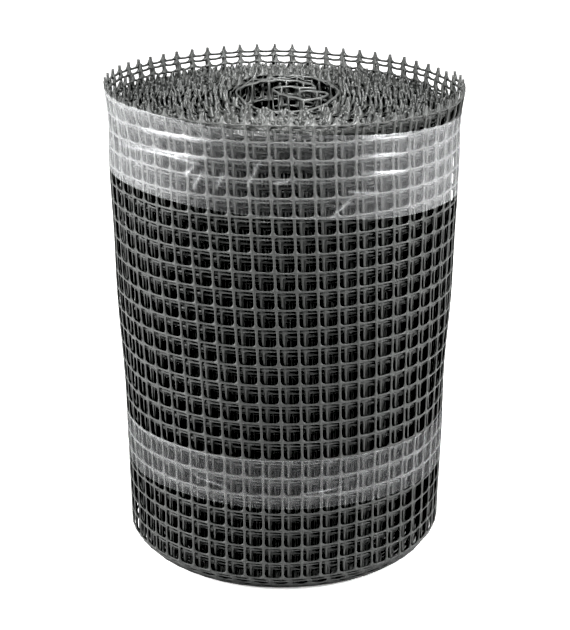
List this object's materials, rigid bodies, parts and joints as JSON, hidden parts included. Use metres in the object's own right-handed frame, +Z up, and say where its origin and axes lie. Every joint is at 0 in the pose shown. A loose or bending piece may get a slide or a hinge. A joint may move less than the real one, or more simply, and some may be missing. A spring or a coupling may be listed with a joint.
{
  "type": "roll of plastic garden mesh",
  "caption": "Roll of square plastic garden net standing on its end, with an open bore and two bands of clear stretch film.",
  "frame": {"origin": "centre of the base, on the surface that the roll stands on", "axes": "+Z up along the roll's axis; -Y faces the viewer, +X to the viewer's right"},
  "size_m": [0.3813, 0.3804, 0.524],
  "materials": {
    "net": "grey extruded plastic net, dull satin",
    "film": "clear stretch film, glossy and slightly milky"
  },
  "bodies": {
    "root": {"mesh_roll": "net", "upper_wrap": "film", "lower_wrap": "film"}
  },
  "joints": []
}
